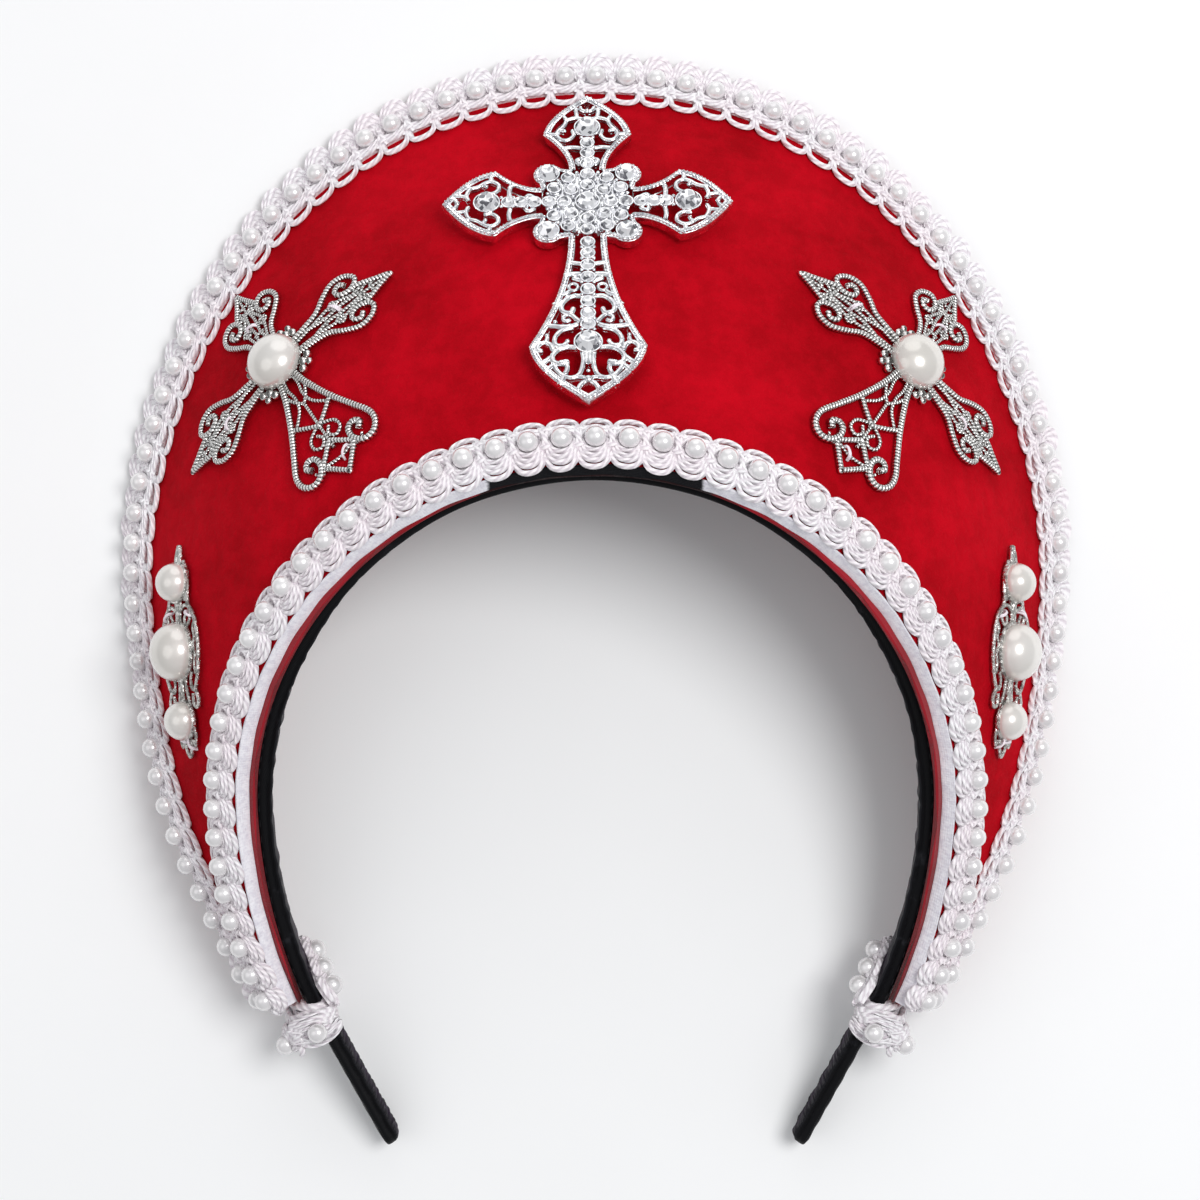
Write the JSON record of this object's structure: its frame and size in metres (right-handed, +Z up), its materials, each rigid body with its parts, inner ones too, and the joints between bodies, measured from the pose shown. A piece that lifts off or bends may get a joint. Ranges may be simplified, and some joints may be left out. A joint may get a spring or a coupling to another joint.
{
  "type": "french hood",
  "caption": "Velvet-covered crescent on a satin headband, edged with pearl braid and set with pierced crosses and cabochon ornaments.",
  "frame": {"origin": "centre of the footprint, on the plane that the rim and the headband's tips rest on", "axes": "+Z up out of the velvet side, +Y to the top of the crescent, +X to the right seen from +Z"},
  "size_m": [0.2062, 0.2386, 0.0681],
  "materials": {
    "red_velvet": "velvet",
    "red_lining": "plain weave",
    "white_tape": "woven tape",
    "black_satin": "satin",
    "white_braid": "twisted cord",
    "bright_silver": "polished",
    "antique_silver": "antique",
    "clear_stone": "faceted",
    "ivory_pearl": "pearl"
  },
  "bodies": {
    "root": {"crescent": "red_velvet", "crescent_lining": "red_lining", "inner_edge_tape": "white_tape", "headband": "black_satin", "outer_trim": "white_braid", "inner_trim": "white_braid", "end_wrap_left": "white_braid", "end_wrap_right": "white_braid", "centre_cross": "bright_silver", "cross_stone_centre": "clear_stone", "cross_stone_corner_1": "clear_stone", "cross_stone_corner_2": "clear_stone", "cross_stone_corner_3": "clear_stone", "cross_stone_corner_4": "clear_stone", "cross_stone_top": "clear_stone", "cross_stone_left": "clear_stone", "cross_stone_right": "clear_stone", "cross_stone_bottom": "clear_stone", "side_cross_left": "antique_silver", "side_cross_cabochon_left": "ivory_pearl", "side_ornament_left": "antique_silver", "ornament_cabochon_top_left": "ivory_pearl", "ornament_cabochon_middle_left": "ivory_pearl", "ornament_cabochon_low_left": "ivory_pearl", "side_cross_right": "antique_silver", "side_cross_cabochon_right": "ivory_pearl", "side_ornament_right": "antique_silver", "ornament_cabochon_top_right": "ivory_pearl", "ornament_cabochon_middle_right": "ivory_pearl", "ornament_cabochon_low_right": "ivory_pearl"}
  },
  "joints": []
}
